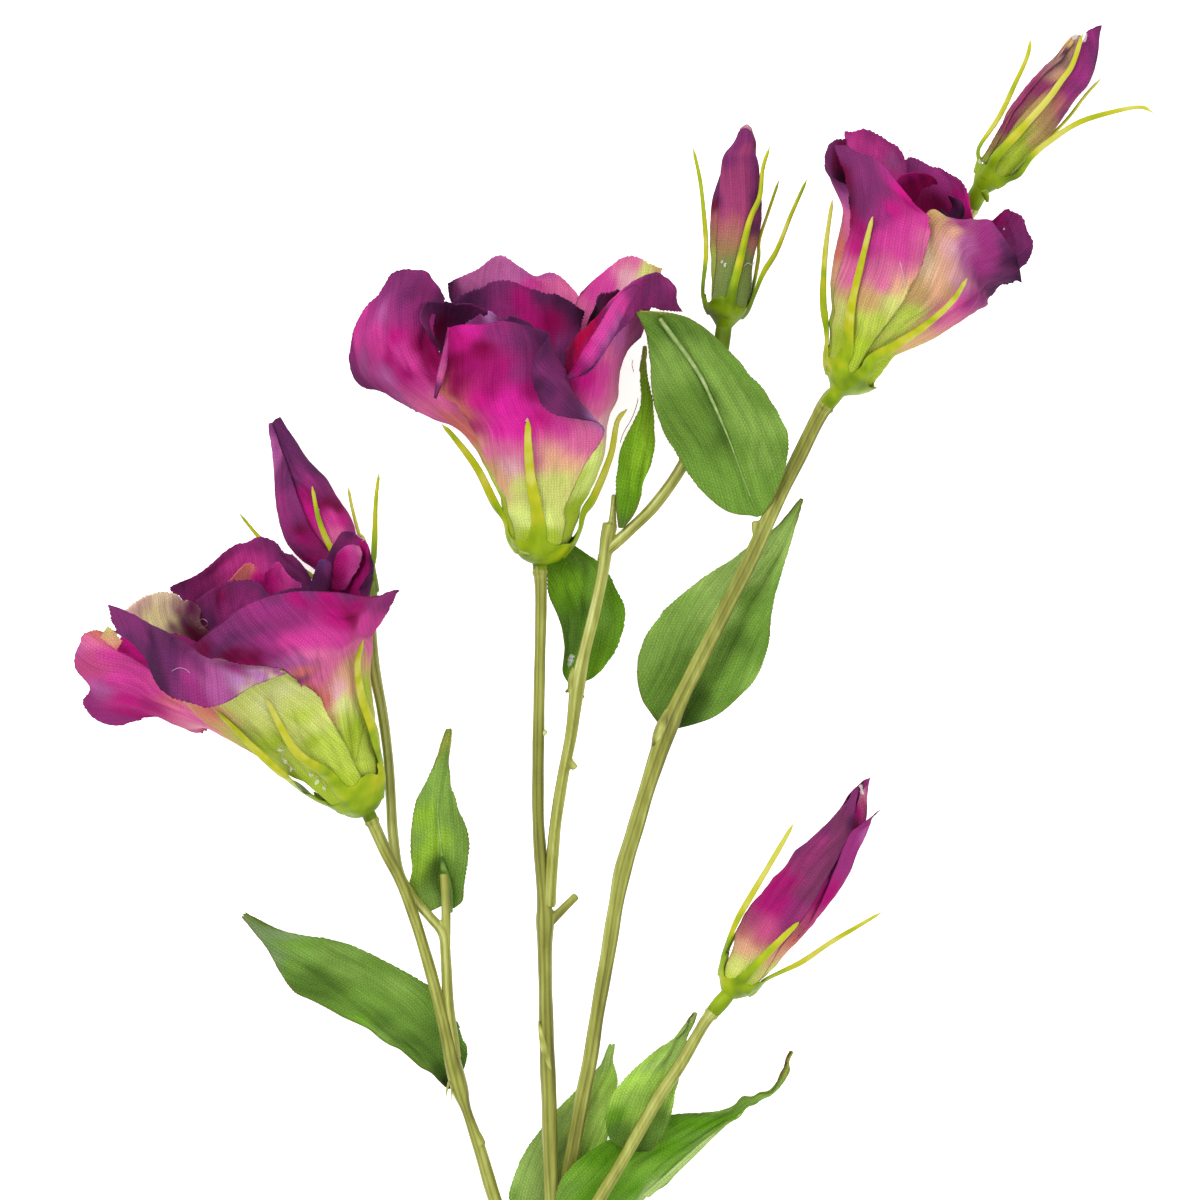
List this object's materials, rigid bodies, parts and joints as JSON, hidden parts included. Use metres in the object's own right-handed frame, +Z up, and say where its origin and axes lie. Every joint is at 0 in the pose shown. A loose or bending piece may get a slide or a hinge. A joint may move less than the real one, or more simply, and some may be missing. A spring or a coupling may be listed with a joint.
{
  "type": "lisianthus flower",
  "caption": "Branching lisianthus spray with open trumpet blooms, closed buds and pointed leaves, lying flat.",
  "frame": {"origin": "centre of the bounding box at its underside, on the surface the spray lies on", "axes": "+Y along the main stem from its cut end towards the topmost bud, the longest extent; +Z up, away from the surface, the shortest extent; +X to the right seen from above"},
  "size_m": [0.2706, 0.4536, 0.0777],
  "materials": {
    "petal_fabric": "matt woven petal fabric, magenta turning dark purple at the rim and yellow-green at the base",
    "bud_fabric": "matt woven petal fabric, dark maroon to magenta, pale green at the base",
    "leaf_fabric": "matt woven leaf fabric with pressed veins",
    "stem_plastic": "satin olive-green moulded plastic",
    "calyx_plastic": "satin lime-green moulded plastic"
  },
  "bodies": {
    "root": {"stem_main": "stem_plastic", "stem_centre": "stem_plastic", "stem_left": "stem_plastic", "stem_right": "stem_plastic", "stem_bud_a": "stem_plastic", "stem_bud_b": "stem_plastic", "stem_bud_c": "stem_plastic", "stem_centre_twig": "stem_plastic", "stem_bud_d": "stem_plastic", "leaf_1": "leaf_fabric", "leaf_2": "leaf_fabric", "leaf_3": "leaf_fabric", "leaf_4": "leaf_fabric", "leaf_5": "leaf_fabric", "leaf_6": "leaf_fabric", "leaf_7": "leaf_fabric", "leaf_8": "leaf_fabric", "leaf_9": "leaf_fabric", "flower_centre_calyx": "calyx_plastic", "flower_left_calyx": "calyx_plastic", "flower_right_calyx": "calyx_plastic", "bud_a_calyx": "calyx_plastic", "bud_b_calyx": "calyx_plastic", "bud_c_calyx": "calyx_plastic", "bud_d_calyx": "calyx_plastic", "flower_centre_petal_front": "petal_fabric", "flower_centre_petal_left": "petal_fabric", "flower_centre_petal_right": "petal_fabric", "flower_centre_petal_back_left": "petal_fabric", "flower_centre_petal_back_right": "petal_fabric", "flower_centre_petal_inner_back": "petal_fabric", "flower_centre_petal_inner_left": "petal_fabric", "flower_centre_petal_inner_front": "petal_fabric", "flower_centre_petal_inner_right": "petal_fabric", "flower_left_petal_front_left": "petal_fabric", "flower_left_petal_front_right": "petal_fabric", "flower_left_petal_left": "petal_fabric", "flower_left_petal_back": "petal_fabric", "flower_left_petal_right": "petal_fabric", "flower_left_petal_back_left": "petal_fabric", "flower_left_petal_inner_back": "petal_fabric", "flower_left_petal_inner_mid": "petal_fabric", "flower_left_petal_inner_left": "petal_fabric", "flower_left_petal_inner_right": "petal_fabric", "flower_right_petal_front": "petal_fabric", "flower_right_petal_left": "petal_fabric", "flower_right_petal_right": "petal_fabric", "flower_right_petal_right_back": "petal_fabric", "flower_right_petal_back_right": "petal_fabric", "flower_right_petal_back_left": "petal_fabric", "flower_right_petal_inner_left": "petal_fabric", "flower_right_petal_inner_right": "petal_fabric", "bud_a_petal_front": "bud_fabric", "bud_a_petal_back": "bud_fabric", "bud_b_petal_right": "bud_fabric", "bud_b_petal_left": "bud_fabric", "bud_c_petal_front": "bud_fabric", "bud_c_petal_back": "bud_fabric", "bud_d_petal_left": "bud_fabric", "bud_d_petal_right": "bud_fabric"}
  },
  "joints": []
}
